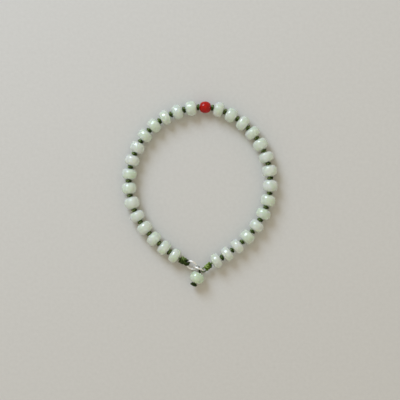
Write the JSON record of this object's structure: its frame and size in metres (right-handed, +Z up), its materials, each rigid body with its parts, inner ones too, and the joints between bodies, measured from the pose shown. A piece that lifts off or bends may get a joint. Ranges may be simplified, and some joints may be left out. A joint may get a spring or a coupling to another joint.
{
  "type": "knotted jade bead bracelet",
  "caption": "Loop of pale green drilled barrel beads with one red bead, knotted on green cord, closed by two small linked silver rings with a hanging bead.",
  "frame": {"origin": "on the surface that it lies on, under the middle of its box", "axes": "+Z up from the surface, +Y from the clasp towards the red bead, +X to the right seen from above"},
  "size_m": [0.0564, 0.0668, 0.0055],
  "materials": {
    "jade": "polished, slightly translucent",
    "red_stone": "polished, glossy",
    "green_cord": "waxed, knotted",
    "silver": "polished silver wire"
  },
  "bodies": {
    "root": {"jade_bead_01": "jade", "jade_bead_02": "jade", "jade_bead_03": "jade", "jade_bead_04": "jade", "jade_bead_05": "jade", "jade_bead_06": "jade", "jade_bead_07": "jade", "jade_bead_08": "jade", "jade_bead_09": "jade", "jade_bead_10": "jade", "jade_bead_11": "jade", "jade_bead_12": "jade", "jade_bead_13": "jade", "jade_bead_14": "jade", "jade_bead_15": "jade", "jade_bead_16": "jade", "jade_bead_17": "jade", "jade_bead_18": "jade", "jade_bead_19": "jade", "jade_bead_20": "jade", "jade_bead_21": "jade", "jade_bead_22": "jade", "jade_bead_23": "jade", "jade_bead_24": "jade", "jade_bead_25": "jade", "jade_bead_26": "jade", "jade_bead_27": "jade", "jade_bead_28": "jade", "jade_bead_29": "jade", "jade_bead_30": "jade", "tail_bead": "jade", "red_bead": "red_stone", "knotted_cord": "green_cord", "cord_wrap_left": "green_cord", "cord_wrap_right": "green_cord", "tail_cord": "green_cord", "link_ring": "silver", "clasp_ring": "silver"}
  },
  "joints": []
}
